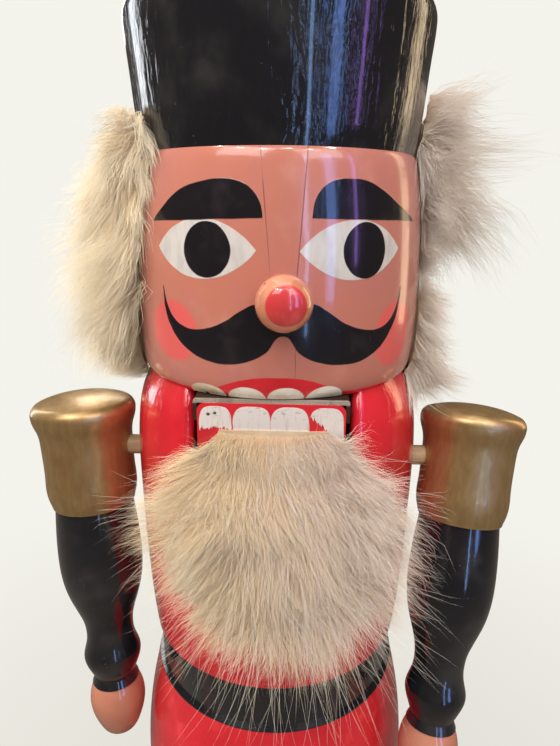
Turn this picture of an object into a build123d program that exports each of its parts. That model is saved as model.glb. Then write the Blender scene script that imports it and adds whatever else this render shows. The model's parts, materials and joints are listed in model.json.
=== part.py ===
from build123d import *
from math import radians, sin, cos, sqrt
import os

# A wooden soldier nutcracker. Millimetres, +Z up, the face looks along -Y.
# The origin is the middle of the base's underside.

os.makedirs("parts", exist_ok=True)

# ---- driving sizes -------------------------------------------------------

# base board
baseLength = 128.0
baseDepth = 112.0
baseHeight = 22.0
baseMould = 5.0
baseCorner = 9.0

# legs
legSpacing = 48.0
bootHeight = 62.0
bootRadius = 21.0
ankleRadius = 16.0
legHeight = 48.0
legRadius = 19.5
toeRadius = 17.5
toeReach = 17.0
toeHeight = 25.0
legDowelRadius = 4.0
legDowelSink = 12.0

# turned body: coat skirt, belt groove, chest
skirtHeight = 59.5
beltHeight = 19.5
chestHeight = 108.5
hemRadius = 57.8
beltRadius = 49.4
waistRadius = 50.8
chestRadius = 53.8
neckRadius = 47.4

# turned head and hat
headHeight = 73.0
headRadius = 50.5
foreheadRadius = 46.6
hatHeight = 46.5
hatTopRadius = 50.6
hatRound = 7.0
hatDowelRadius = 8.0
hatDowelSink = 16.0
neckDowelRadius = 4.0
neckDowelSink = 15.0
faceTurn = 4.0

# nose and the wedge let in above it
noseHeight = 31.0
noseRadius = 8.2
noseDiscRadius = 5.9
noseReach = 12.5
nosePegRadius = 4.0
nosePegSink = 12.0
inlayTop = 13.4
inlayBottom = 6.6
inlayDepth = 7.0

# jaw lever
jawWidth = 46.4
jawFront = 48.0
jawDepth = 18.0
jawDrop = 57.0
jawTopGap = 1.5
slotGap = 2.1
slotDepth = 76.0
slotFloorGap = 9.0
leverThickness = 29.0
handleThickness = 7.5
handleGap = 4.5
handleLength = 112.0
handleWaist = 30.0
handleWidth = 41.0
jawCorner = 2.6

# pivot pin
pinRadius = 2.0
pinForward = 6.0
pinDrop = 46.0
pinFit = 0.05
plugRadius = 3.5
plugDepth = 5.0

# bite plate on the jaw
plateThickness = 1.2
plateDepth = 16.0
lugDrop = 6.0
lugDepth = 7.0
nailRadius = 0.7
nailHeadRadius = 1.5
nailHead = 0.4
nailLength = 7.0

# arms: left is the figure's side at -X
shoulderDrop = {"left": 33.5, "right": 35.5}
shoulderForward = 8.0
shoulderGap = 4.0
armLean = {"left": 3.0, "right": 6.0}
armSwing = {"left": 4.0, "right": 14.0}
capTop = 17.6
capDome = 2.8
capNeckRadius = 17.3
capRimProud = 2.3
capShoulder = 10.5
capFoot = 24.0
capFootInset = 1.4
sleeveLength = 83.0
sleeveRadius = 16.4
sleeveClear = 0.9
wristRadius = 9.6
cuffBeadRadius = 11.7
cuffRadius = 8.4
handLength = 26.0
handRadius = 11.5
armTenonRadius = 6.0
armTenon = 9.0
handTenonRadius = 4.0
handTenon = 9.0
dowelRadius = 3.8
dowelFit = 0.05
dowelSink = 20.0

# fur
beardTop = 10.5
beardLength = 95.0
beardSpread = 46.0
beardThickness = 11.0
beardClear = 0.6
beardRoot = 40.0
hairLength = 88.0
hairThickness = 19.0
hairFrontLeft = 62.0
hairFrontRight = 72.0

# ---- heights and places that follow ---------------------------------------

legFoot = baseHeight
legTop = legFoot + bootHeight + legHeight
beltFoot = legTop + skirtHeight
beltTop = beltFoot + beltHeight
neckTop = beltTop + chestHeight
headTop = neckTop + headHeight
hatTop = headTop + hatHeight
pinY = -pinForward
pinZ = neckTop - pinDrop
slotWidth = jawWidth + 2 * slotGap
slotFloor = neckTop - slotDepth
jawTop = neckTop - jawTopGap
wallRadius = (beltRadius + waistRadius) / 2
capRimRadius = capNeckRadius + capRimProud
capFootRadius = capNeckRadius - capFootInset


def axisUp(x, y):
    return Axis((x, y, 0), (0, 0, 1))


def uprightPlane(turn):
    # radius along x and height along y, turned from the front towards +X
    out = (sin(radians(turn)), -cos(radians(turn)), 0)
    return Plane(origin=(0, 0, 0), x_dir=out, z_dir=(out[1], -out[0], 0))


# ---- base -------------------------------------------------------------------

legX = legSpacing / 2

with BuildPart() as base:
    with BuildSketch():
        RectangleRounded(baseLength, baseDepth, baseCorner)
    extrude(amount=baseHeight)
    topEdges = base.faces().sort_by(Axis.Z)[-1].edges()
    chamfer(topEdges, length=baseMould, length2=baseMould * 0.8)
    with Locations((-legX, 0, baseHeight), (legX, 0, baseHeight)):
        Hole(legDowelRadius, depth=legDowelSink)
base.part.label = "base"
export_step(base.part, "parts/base.step")

# ---- boots, toes, legs --------------------------------------------------------

toeY = bootRadius + toeReach - toeRadius

for side, sign in (("left", -1), ("right", 1)):
    plane = Plane(origin=(sign * legX, 0, legFoot), x_dir=(1, 0, 0), z_dir=(0, -1, 0))
    upright = Axis((sign * legX, 0, legFoot), (0, 0, 1))
    bore = legDowelRadius

    with BuildPart() as boot:
        with BuildSketch(plane):
            with BuildLine():
                Polyline((bore, 0), (bootRadius - 1, 0), (bootRadius, 3))
                Spline(
                    (bootRadius, 3),
                    (ankleRadius, bootHeight * 0.42),
                    (bootRadius - 2, bootHeight - 9),
                )
                Polyline(
                    (bootRadius - 2, bootHeight - 9),
                    (bootRadius, bootHeight - 8),
                    (bootRadius, bootHeight - 1),
                    (bootRadius - 1, bootHeight),
                    (bore, bootHeight),
                    (bore, 0),
                )
            make_face()
        revolve(axis=upright)
    boot.part.label = side + "_boot"
    export_step(boot.part, "parts/" + side + "_boot.step")

    with BuildPart() as toe:
        with BuildSketch(Plane.XY.offset(legFoot)):
            with Locations((sign * legX, -toeY)):
                Circle(toeRadius)
            with Locations((sign * legX, -toeY / 2)):
                Rectangle(2 * toeRadius, toeY)
        extrude(amount=toeHeight)
        roof = toe.faces().sort_by(Axis.Z)[-1].edges().filter_by(GeomType.CIRCLE)
        fillet(roof, radius=toeRadius * 0.6)
        with BuildSketch(Plane.XY.offset(legFoot)):
            with Locations((sign * legX, 0)):
                Circle(bootRadius)
        extrude(amount=toeHeight, mode=Mode.SUBTRACT)
    toe.part.label = side + "_toe"
    export_step(toe.part, "parts/" + side + "_toe.step")

    with BuildPart() as leg:
        with BuildSketch(plane.offset(0)):
            with BuildLine():
                Polyline((legRadius, bootHeight + legHeight), (bore, bootHeight + legHeight))
                Polyline(
                    (bore, bootHeight + legHeight),
                    (bore, bootHeight),
                    (legRadius - 2.5, bootHeight),
                )
                Spline(
                    (legRadius - 2.5, bootHeight),
                    (legRadius + 0.6, bootHeight + legHeight * 0.55),
                    (legRadius, bootHeight + legHeight),
                )
            make_face()
        revolve(axis=upright)
    leg.part.label = side + "_leg"
    export_step(leg.part, "parts/" + side + "_leg.step")

with BuildPart() as legDowels:
    with BuildSketch(Plane.XY.offset(baseHeight - legDowelSink)):
        with Locations((-legX, 0), (legX, 0)):
            Circle(legDowelRadius)
    extrude(amount=legTop - baseHeight + 2 * legDowelSink)
legDowels.part.label = "leg_dowels"
export_step(legDowels.part, "parts/leg_dowels.step")

# ---- body ---------------------------------------------------------------------

bodyPlane = Plane(origin=(0, 0, legTop), x_dir=(1, 0, 0), z_dir=(0, -1, 0))
chestFoot = skirtHeight + beltHeight
bodyHeight = chestFoot + chestHeight

with BuildPart() as body:
    with BuildSketch(bodyPlane):
        with BuildLine():
            Polyline((0, 0), (hemRadius - 1.5, 0), (hemRadius, 1.5))
            Spline(
                (hemRadius, 1.5),
                (hemRadius - 1.3, skirtHeight * 0.5),
                (hemRadius - 3.4, skirtHeight * 0.72),
                (waistRadius + 0.6, skirtHeight - 3),
                (waistRadius, skirtHeight),
            )
            Polyline(
                (waistRadius, skirtHeight),
                (beltRadius, skirtHeight),
                (beltRadius, chestFoot),
                (waistRadius, chestFoot + 0.4),
            )
            chestSide = Spline(
                (waistRadius, chestFoot + 0.4),
                (waistRadius + 1.1, chestFoot + chestHeight * 0.11),
                (chestRadius - 0.4, chestFoot + chestHeight * 0.42),
                (chestRadius, chestFoot + chestHeight * 0.6),
                (chestRadius - 0.8, bodyHeight - 17.5),
                (neckRadius + 3.6, bodyHeight - 7.5),
                (neckRadius, bodyHeight),
            )
            Polyline((neckRadius, bodyHeight), (0, bodyHeight), (0, 0))
        make_face()
    revolve(axis=axisUp(0, 0))
    # the slot sawn right through for the lever
    with BuildSketch(Plane.XY.offset(neckTop)):
        Rectangle(slotWidth, 4 * hemRadius)
    extrude(amount=-slotDepth, mode=Mode.SUBTRACT)
    # the slot's front and back lips are rubbed round
    lips = body.edges().filter_by(
        lambda e: abs(abs(e.center().X) - slotWidth / 2) < 0.01
        and e.center().Z > slotFloor + 5
        and e.center().Z < neckTop - 1
    )
    fillet(lips, radius=2.6)
    # holes: leg dowels, neck dowels, pivot pin with its plugs, shoulder dowels
    with Locations(Plane(origin=(-legX, 0, legTop), z_dir=(0, 0, -1))):
        Hole(legDowelRadius, depth=legDowelSink)
    with Locations(Plane(origin=(legX, 0, legTop), z_dir=(0, 0, -1))):
        Hole(legDowelRadius, depth=legDowelSink)
    neckDowelX = (slotWidth / 2 + neckRadius) / 2
    with Locations((-neckDowelX, 8, neckTop), (neckDowelX, 8, neckTop)):
        Hole(neckDowelRadius, depth=neckDowelSink)
    with BuildSketch(Plane.YZ.offset(-2 * chestRadius)):
        with Locations((pinY, pinZ)):
            Circle(pinRadius)
    extrude(amount=4 * chestRadius, mode=Mode.SUBTRACT)
    plugInner = sqrt(chestRadius**2 - pinForward**2) - plugDepth
    for sign in (-1, 1):
        with BuildSketch(Plane.YZ.offset(sign * plugInner)):
            with Locations((pinY, pinZ)):
                Circle(plugRadius)
        extrude(amount=sign * 2 * plugDepth, mode=Mode.SUBTRACT)
    for side, sign in (("left", -1), ("right", 1)):
        holeZ = neckTop - shoulderDrop[side]
        holeInner = sqrt(chestRadius**2 - shoulderForward**2) - dowelSink
        with BuildSketch(Plane.YZ.offset(sign * holeInner)):
            with Locations((-shoulderForward, holeZ)):
                Circle(dowelRadius + dowelFit)
        extrude(amount=sign * 2 * dowelSink, mode=Mode.SUBTRACT)
body.part.label = "body"
export_step(body.part, "parts/body.step")

# ---- head, with the forehead wedge --------------------------------------------

headPlane = Plane(origin=(0, 0, neckTop), x_dir=(1, 0, 0), z_dir=(0, -1, 0))
faceDirection = (sin(radians(faceTurn)), -cos(radians(faceTurn)), 0)
faceX = (cos(radians(faceTurn)), sin(radians(faceTurn)), 0)
noseZ = neckTop + noseHeight
wedgePlane = Plane(
    origin=(
        faceDirection[0] * (headRadius - inlayDepth),
        faceDirection[1] * (headRadius - inlayDepth),
        neckTop,
    ),
    x_dir=faceX,
    z_dir=faceDirection,
)

with BuildPart() as head:
    with BuildSketch(headPlane):
        with BuildLine():
            Polyline((0, headHeight), (0, 0), (neckRadius, 0))
            Spline(
                (neckRadius, 0),
                (neckRadius + 1.0, 1.2),
                (headRadius - 1.0, 3.6),
                (headRadius - 0.4, 7),
                tangents=[(0.5, 1), (0.1, 1)],
            )
            Spline(
                (headRadius - 0.4, 7),
                (headRadius + 0.3, headHeight * 0.45),
                (headRadius - 0.6, headHeight * 0.75),
                (headRadius - 2.2, headHeight - 5.5),
                (foreheadRadius, headHeight),
                tangents=[(0.1, 1), (-0.8, 1)],
            )
            Line((foreheadRadius, headHeight), (0, headHeight))
        make_face()
    revolve(axis=axisUp(0, 0))
    neckPegs = ((-neckDowelX, 8), (neckDowelX, 8))
    with BuildSketch(Plane.XY.offset(neckTop)):
        with Locations(*neckPegs):
            Circle(neckDowelRadius)
    extrude(amount=neckDowelSink, mode=Mode.SUBTRACT)
    with BuildSketch(Plane.XY.offset(headTop)):
        Circle(hatDowelRadius)
    extrude(amount=-hatDowelSink, mode=Mode.SUBTRACT)

with BuildPart() as wedge:
    with BuildSketch(wedgePlane):
        with BuildLine():
            Polyline(
                (-inlayTop / 2, headHeight + 1),
                (-inlayBottom / 2, noseHeight),
                (inlayBottom / 2, noseHeight),
                (inlayTop / 2, headHeight + 1),
                close=True,
            )
        make_face()
    extrude(amount=3 * inlayDepth)

pegPlane = Plane(
    origin=(
        faceDirection[0] * (headRadius - nosePegSink),
        faceDirection[1] * (headRadius - nosePegSink),
        noseZ,
    ),
    x_dir=faceX,
    z_dir=faceDirection,
)

with BuildPart() as pegHole:
    with BuildSketch(pegPlane):
        Circle(nosePegRadius)
    extrude(amount=nosePegSink + 2 * noseReach)

with BuildPart() as forehead:
    add(head.part)
    add(wedge.part, mode=Mode.INTERSECT)
    add(pegHole.part, mode=Mode.SUBTRACT)
forehead.part.label = "forehead_inlay"
export_step(forehead.part, "parts/forehead_inlay.step")

with BuildPart() as headCut:
    add(head.part)
    add(wedge.part, mode=Mode.SUBTRACT)
    add(pegHole.part, mode=Mode.SUBTRACT)
headCut.part.label = "head"
export_step(headCut.part, "parts/head.step")

with BuildPart() as neckDowels:
    with BuildSketch(Plane.XY.offset(neckTop - neckDowelSink)):
        with Locations(*neckPegs):
            Circle(neckDowelRadius)
    extrude(amount=2 * neckDowelSink)
neckDowels.part.label = "neck_dowels"
export_step(neckDowels.part, "parts/neck_dowels.step")

# ---- nose: a turned button on a peg -------------------------------------------

nosePlane = Plane(origin=pegPlane.origin, x_dir=faceX, z_dir=(0, 0, -1))
noseSeat = nosePegSink + 0.3
noseTip = nosePegSink + noseReach

with BuildPart() as nose:
    with BuildSketch(nosePlane):
        with BuildLine():
            Polyline(
                (0, 0),
                (nosePegRadius, 0),
                (nosePegRadius, noseSeat),
                (noseRadius - 1.6, noseSeat),
            )
            Spline(
                (noseRadius - 1.6, noseSeat),
                (noseRadius, noseSeat + noseReach * 0.42),
                (noseDiscRadius, noseTip - 2.2),
            )
            Spline(
                (noseDiscRadius, noseTip - 2.2),
                (noseDiscRadius * 0.62, noseTip - 0.7),
                (0, noseTip),
                tangents=[(-0.7, 1), (-1, 0)],
            )
            Line((0, noseTip), (0, 0))
        make_face()
    revolve(axis=Axis(tuple(pegPlane.origin), faceDirection))
    add(headCut.part, mode=Mode.SUBTRACT)
    add(forehead.part, mode=Mode.SUBTRACT)
nose.part.label = "nose"
export_step(nose.part, "parts/nose.step")

# ---- hat ------------------------------------------------------------------------

with BuildPart() as hat:
    with BuildSketch(headPlane):
        with BuildLine():
            Line((0, headHeight), (foreheadRadius, headHeight))
            Spline(
                (foreheadRadius, headHeight),
                (foreheadRadius + 1.9, headHeight + hatHeight * 0.32),
                (hatTopRadius - 0.6, headHeight + hatHeight * 0.68),
                (hatTopRadius, headHeight + hatHeight - hatRound),
                tangents=[(0.2, 1), (0, 1)],
            )
            RadiusArc(
                (hatTopRadius, headHeight + hatHeight - hatRound),
                (hatTopRadius - hatRound, headHeight + hatHeight),
                -hatRound,
            )
            Polyline(
                (hatTopRadius - hatRound, headHeight + hatHeight),
                (0, headHeight + hatHeight),
                (0, headHeight),
            )
        make_face()
    revolve(axis=axisUp(0, 0))
    with BuildSketch(Plane.XY.offset(headTop)):
        Circle(hatDowelRadius)
    extrude(amount=hatDowelSink, mode=Mode.SUBTRACT)
hat.part.label = "hat"
export_step(hat.part, "parts/hat.step")

with BuildPart() as hatDowel:
    with BuildSketch(Plane.XY.offset(headTop - hatDowelSink)):
        Circle(hatDowelRadius)
    extrude(amount=2 * hatDowelSink)
hatDowel.part.label = "hat_dowel"
export_step(hatDowel.part, "parts/hat_dowel.step")

# ---- jaw lever: jaw board, arm through the body and coat-tail handle ------------

handleInner = chestRadius + handleGap
handleOuter = handleInner + handleThickness
leverRoof = pinZ + leverThickness / 2
leverSole = slotFloor + slotFloorGap
handleFoot = leverSole - handleLength + leverThickness
sidePlane = Plane.YZ.offset(-jawWidth / 2)

with BuildPart() as jaw:
    with BuildSketch(sidePlane):
        with BuildLine():
            Polyline(
                (-jawFront, jawTop),
                (-jawFront + jawDepth, jawTop),
                (-pinForward, leverRoof),
                (chestRadius, leverRoof - 6),
                (handleOuter, leverRoof - 12),
                (handleOuter, handleFoot + 4),
                (handleOuter - 1.5, handleFoot),
                (handleInner + 1.5, handleFoot),
                (handleInner, handleFoot + 4),
                (handleInner, leverSole),
                (-pinForward, leverSole - 3),
                (-jawFront + 6, jawTop - jawDrop),
                (-jawFront, jawTop - jawDrop + 6),
                close=True,
            )
        make_face()
    extrude(amount=jawWidth)
    # seen from behind the handle is waisted below the slot and flares to its foot
    with BuildSketch(Plane.XZ.offset(-2 * handleOuter)):
        with BuildLine():
            Polyline(
                (-jawWidth / 2, jawTop),
                (-jawWidth / 2, leverSole - 6),
                (-handleWaist / 2, leverSole - 14),
                (-handleWidth / 2, handleFoot),
                (handleWidth / 2, handleFoot),
                (handleWaist / 2, leverSole - 14),
                (jawWidth / 2, leverSole - 6),
                (jawWidth / 2, jawTop),
                close=True,
            )
        make_face()
    extrude(amount=4 * handleOuter, mode=Mode.INTERSECT)
    jawTopFace = jaw.faces().filter_by(Axis.Z).sort_by(Axis.Z)[-1]
    corners = jawTopFace.edges().filter_by(Axis.Y)
    fillet(corners, radius=jawCorner)
    with BuildSketch(sidePlane):
        with Locations((pinY, pinZ)):
            Circle(pinRadius + pinFit)
    extrude(amount=jawWidth, mode=Mode.SUBTRACT)
    # nail holes in the jaw's cheeks
    nailY = -jawFront + 0.6 + lugDepth / 2
    nailZ = jawTop - lugDrop * 0.62
    for sign in (-1, 1):
        with BuildSketch(Plane.YZ.offset(sign * jawWidth / 2)):
            with Locations((nailY, nailZ)):
                Circle(nailRadius)
        extrude(amount=-sign * nailLength, mode=Mode.SUBTRACT)
jaw.part.label = "jaw"
export_step(jaw.part, "parts/jaw.step")

# ---- bite plate, bent down over both sides of the jaw ----------------------------

plateSpan = jawWidth + 2 * plateThickness
with BuildPart() as plate:
    with BuildSketch(Plane.XY.offset(jawTop)):
        with Locations((0, -jawFront + 0.4 + plateDepth / 2)):
            Rectangle(plateSpan, plateDepth)
    extrude(amount=plateThickness)
    for sign in (-1, 1):
        with BuildSketch(Plane.XY.offset(jawTop)):
            lugX = sign * (jawWidth + plateThickness) / 2
            with Locations((lugX, -jawFront + 0.6 + lugDepth / 2)):
                Rectangle(plateThickness, lugDepth)
        extrude(amount=-lugDrop)
    outerBend = plate.edges().filter_by(Axis.Y).group_by(Axis.Z)[-1]
    fillet(outerBend, radius=plateThickness * 0.8)
    with BuildSketch(Plane.YZ.offset(-plateSpan)):
        with Locations((nailY, nailZ)):
            Circle(nailRadius)
    extrude(amount=2 * plateSpan, mode=Mode.SUBTRACT)
plate.part.label = "jaw_plate"
export_step(plate.part, "parts/jaw_plate.step")

with BuildPart() as nails:
    for sign in (-1, 1):
        with BuildSketch(Plane.YZ.offset(sign * plateSpan / 2)):
            with Locations((nailY, nailZ)):
                Circle(nailRadius)
        extrude(amount=-sign * (nailLength + plateThickness))
        with BuildSketch(Plane.YZ.offset(sign * plateSpan / 2)):
            with Locations((nailY, nailZ)):
                Circle(nailHeadRadius)
        extrude(amount=sign * nailHead)
nails.part.label = "plate_nails"
export_step(nails.part, "parts/plate_nails.step")

# ---- pivot pin and the plugs over its ends -----------------------------------------

with BuildPart() as pin:
    with BuildSketch(Plane.YZ.offset(-plugInner)):
        with Locations((pinY, pinZ)):
            Circle(pinRadius)
    extrude(amount=2 * plugInner)
pin.part.label = "pivot_pin"
export_step(pin.part, "parts/pivot_pin.step")

with BuildPart() as plugs:
    for sign in (-1, 1):
        with BuildSketch(Plane.YZ.offset(sign * plugInner)):
            with Locations((pinY, pinZ)):
                Circle(plugRadius)
        extrude(amount=sign * (plugDepth - 0.7))
plugs.part.label = "pin_plugs"
export_step(plugs.part, "parts/pin_plugs.step")

# ---- arms ---------------------------------------------------------------------------

for side, sign in (("left", -1), ("right", 1)):
    lean = radians(armLean[side])
    swing = radians(armSwing[side])
    sideX = sqrt(chestRadius**2 - shoulderForward**2)
    shoulderX = sign * (sideX + shoulderGap + max(capNeckRadius, sleeveRadius + sleeveClear))
    shoulderZ = neckTop - shoulderDrop[side]
    origin = Vector(shoulderX, -shoulderForward, shoulderZ)
    # the arm's own axis points from the hand up to the cap
    up = Vector(sign * sin(lean), sin(swing) * cos(lean), cos(swing) * cos(lean))
    across = Vector(1, 0, 0) - up * up.X
    profile = Plane(origin=origin, x_dir=across, z_dir=across.cross(up))
    armAxis = Axis(tuple(origin), tuple(up))

    with BuildPart() as dowel:
        inner = sideX - dowelSink + 0.5
        with BuildSketch(Plane.YZ.offset(sign * inner)):
            with Locations((-shoulderForward, shoulderZ)):
                Circle(dowelRadius)
        extrude(amount=sign * (abs(shoulderX) + capNeckRadius * 0.5 - inner))
    dowel.part.label = side + "_shoulder_dowel"
    export_step(dowel.part, "parts/" + side + "_shoulder_dowel.step")

    with BuildPart() as cap:
        with BuildSketch(profile):
            with BuildLine():
                Spline(
                    (0, capTop + capDome),
                    (capRimRadius - 2.6, capTop),
                    tangents=[(1, 0), (1, -0.42)],
                )
                ThreePointArc(
                    (capRimRadius - 2.6, capTop),
                    (capRimRadius - 0.5, capTop - 1.9),
                    (capRimRadius, capTop - 4.6),
                )
                Spline(
                    (capRimRadius, capTop - 4.6),
                    (capNeckRadius + 0.7, capTop - capShoulder),
                    (capNeckRadius, 0),
                    (capNeckRadius - 0.1, -11),
                    (capFootRadius + 0.2, -capFoot + 1),
                    tangents=[(-0.05, -1), (-0.35, -1)],
                )
                Polyline(
                    (capFootRadius + 0.2, -capFoot + 1),
                    (capFootRadius, -capFoot),
                    (armTenonRadius, -capFoot),
                    (armTenonRadius, -capFoot + armTenon),
                    (0, -capFoot + armTenon),
                    (0, capTop + capDome),
                )
            make_face()
        revolve(axis=armAxis)
        add(dowel.part, mode=Mode.SUBTRACT)
    cap.part.label = side + "_shoulder_cap"
    export_step(cap.part, "parts/" + side + "_shoulder_cap.step")

    cuff = -capFoot - sleeveLength
    with BuildPart() as arm:
        with BuildSketch(profile):
            with BuildLine():
                Polyline(
                    (0, -capFoot + armTenon),
                    (armTenonRadius, -capFoot + armTenon),
                    (armTenonRadius, -capFoot),
                    (capFootRadius - 0.9, -capFoot),
                )
                Spline(
                    (capFootRadius - 0.9, -capFoot),
                    (sleeveRadius, -capFoot - sleeveLength * 0.24),
                    (sleeveRadius - 1.6, -capFoot - sleeveLength * 0.46),
                    (wristRadius + 1.4, -capFoot - sleeveLength * 0.6),
                    (wristRadius, cuff + 24),
                    tangents=[(0.1, -1), (0, -1)],
                )
                Spline(
                    (wristRadius, cuff + 24),
                    (cuffBeadRadius, cuff + 13),
                    (cuffRadius, cuff + 3),
                    tangents=[(0, -1), (-0.35, -1)],
                )
                Polyline(
                    (cuffRadius, cuff + 3),
                    (cuffRadius + 1.3, cuff),
                    (handTenonRadius, cuff),
                    (handTenonRadius, cuff + handTenon),
                    (0, cuff + handTenon),
                    (0, -capFoot + armTenon),
                )
            make_face()
        revolve(axis=armAxis)
    arm.part.label = side + "_arm"
    export_step(arm.part, "parts/" + side + "_arm.step")

    with BuildPart() as hand:
        with BuildSketch(profile):
            with BuildLine():
                Polyline(
                    (0, cuff + handTenon),
                    (handTenonRadius, cuff + handTenon),
                    (handTenonRadius, cuff),
                    (cuffRadius + 0.8, cuff),
                )
                Spline(
                    (cuffRadius + 0.8, cuff),
                    (handRadius, cuff - handLength * 0.36),
                    (handRadius * 0.72, cuff - handLength * 0.83),
                    (0, cuff - handLength),
                    tangents=[(0.5, -1), (-1, 0)],
                )
                Line((0, cuff - handLength), (0, cuff + handTenon))
            make_face()
        revolve(axis=armAxis)
    hand.part.label = side + "_hand"
    export_step(hand.part, "parts/" + side + "_hand.step")
    print(side, "shoulder", tuple(origin), "up", tuple(up))

# ---- beard: one soft body over the jaw front and the chest ---------------------------

beardHigh = neckTop - beardTop
beardLow = beardHigh - beardLength
chestReach = chestSide.bounding_box().max.X
jawReach = sqrt((jawWidth / 2) ** 2 + jawFront**2)
beardInner = max(chestReach, jawReach) + beardClear
beardBack = jawFront + 0.3
beardStart = uprightPlane(-beardSpread)

with BuildPart() as beard:
    with BuildSketch(beardStart):
        with BuildLine():
            Polyline(
                (beardInner, beardHigh - 12),
                (beardInner + 3, beardHigh - 12),
                (beardInner + beardThickness, beardHigh - 42),
                (beardInner + beardThickness - 1, beardHigh - 66),
                (beardInner + 3, beardLow),
                (beardInner, beardLow),
                close=True,
            )
        make_face()
    revolve(axis=axisUp(0, 0), revolution_arc=2 * beardSpread)
    rootFront = beardInner + 3
    with BuildSketch(Plane.XZ.offset(beardBack)):
        with Locations((0, beardHigh - beardRoot / 2)):
            Rectangle(jawWidth - 6, beardRoot)
    extrude(amount=rootFront - beardBack)
beard.part.label = "beard"
export_step(beard.part, "parts/beard.step")

# ---- hair: one strip of fur round the back of the head -------------------------------

hairLow = neckTop - 3.5
hairInner = headRadius + 0.5
hairStart = uprightPlane(hairFrontRight + faceTurn)
hairArc = 360 - hairFrontLeft - hairFrontRight

with BuildPart() as hair:
    with BuildSketch(hairStart):
        with BuildLine():
            Polyline(
                (hairInner, hairLow + 4),
                (hairInner + hairThickness * 0.6, hairLow),
                (hairInner + hairThickness, hairLow + hairLength * 0.35),
                (hairInner + hairThickness, hairLow + hairLength * 0.7),
                (hairInner + hairThickness * 0.5, hairLow + hairLength),
                (hairInner, hairLow + hairLength),
                close=True,
            )
        make_face()
    revolve(axis=axisUp(0, 0), revolution_arc=hairArc)
hair.part.label = "hair"
export_step(hair.part, "parts/hair.step")
print("neckTop", neckTop, "pin", pinY, pinZ, "slotFloor", slotFloor, "hatTop", hatTop)
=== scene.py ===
import bpy
import json
import math
import numpy as np
from mathutils import Matrix, Vector

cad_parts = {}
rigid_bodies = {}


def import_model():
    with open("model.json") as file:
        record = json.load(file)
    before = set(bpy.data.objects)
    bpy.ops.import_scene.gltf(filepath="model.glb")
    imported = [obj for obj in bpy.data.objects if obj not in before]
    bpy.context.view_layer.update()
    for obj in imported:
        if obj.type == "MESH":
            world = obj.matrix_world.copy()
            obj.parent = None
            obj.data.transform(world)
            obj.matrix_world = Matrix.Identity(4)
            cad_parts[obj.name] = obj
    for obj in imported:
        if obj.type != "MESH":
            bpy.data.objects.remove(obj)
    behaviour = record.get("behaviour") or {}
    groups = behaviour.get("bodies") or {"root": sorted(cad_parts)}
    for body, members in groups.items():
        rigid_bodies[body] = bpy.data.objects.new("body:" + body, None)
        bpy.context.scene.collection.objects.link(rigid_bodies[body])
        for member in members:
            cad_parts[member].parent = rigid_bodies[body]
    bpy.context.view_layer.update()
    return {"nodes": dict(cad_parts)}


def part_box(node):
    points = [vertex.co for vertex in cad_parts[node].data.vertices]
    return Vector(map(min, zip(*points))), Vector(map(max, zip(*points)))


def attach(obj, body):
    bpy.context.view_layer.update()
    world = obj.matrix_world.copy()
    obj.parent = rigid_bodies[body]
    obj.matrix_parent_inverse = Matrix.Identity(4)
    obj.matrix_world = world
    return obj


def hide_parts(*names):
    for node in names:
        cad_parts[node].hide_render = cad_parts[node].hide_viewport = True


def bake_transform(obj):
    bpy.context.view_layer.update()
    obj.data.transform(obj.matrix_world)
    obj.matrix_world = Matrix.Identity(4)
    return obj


for leftover in list(bpy.data.objects):
    bpy.data.objects.remove(leftover)
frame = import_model()        # nodes
nodes = frame["nodes"]
mm = 0.001
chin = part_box("body")[1].z + 2.5 * mm        # the head's lower rim, which the face is measured from
print("frame loaded")


# small helpers for node materials

class Wire:
    # a node's output that can be added, multiplied and so on, each time with one more maths node
    def __init__(self, socket):
        self.socket = socket

    def __add__(self, other):
        return maths("ADD", self, other)

    def __radd__(self, other):
        return maths("ADD", other, self)

    def __sub__(self, other):
        return maths("SUBTRACT", self, other)

    def __rsub__(self, other):
        return maths("SUBTRACT", other, self)

    def __mul__(self, other):
        return maths("MULTIPLY", self, other)

    def __truediv__(self, other):
        return maths("DIVIDE", self, other)

    def __pow__(self, other):
        return maths("POWER", self, other)

    def __abs__(self):
        return maths("ABSOLUTE", self)


def link(source, target):
    if isinstance(source, Wire):
        target.id_data.links.new(source.socket, target)
    else:
        target.default_value = source


def maths(operation, *values):
    tree = next(value.socket.id_data for value in values if isinstance(value, Wire))
    node = tree.nodes.new("ShaderNodeMath")
    node.operation = operation
    for value, socket in zip(values, node.inputs):
        link(value, socket)
    return Wire(node.outputs[0])


def step(value, low, high):
    node = value.socket.id_data.nodes.new("ShaderNodeMapRange")
    node.interpolation_type = "SMOOTHSTEP"
    link(value, node.inputs[0])
    node.inputs[1].default_value = low
    node.inputs[2].default_value = high
    return Wire(node.outputs[0])


def mixed(share, low, high):
    node = share.socket.id_data.nodes.new("ShaderNodeMix")
    node.data_type = "RGBA"
    link(share, node.inputs[0])
    for colour, socket in ((low, node.inputs[6]), (high, node.inputs[7])):
        link((*colour, 1) if isinstance(colour, tuple) else colour, socket)
    return Wire(node.outputs[2])


def placed(tree, scale=(1, 1, 1), turn=0, shift=(0, 0, 0)):
    point = tree.nodes.new("ShaderNodeTexCoord")
    mapping = tree.nodes.new("ShaderNodeMapping")
    tree.links.new(point.outputs["Object"], mapping.inputs[0])
    mapping.inputs["Location"].default_value = shift
    mapping.inputs["Rotation"].default_value = (0, 0, math.radians(turn))
    mapping.inputs["Scale"].default_value = scale
    return Wire(mapping.outputs[0])


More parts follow.
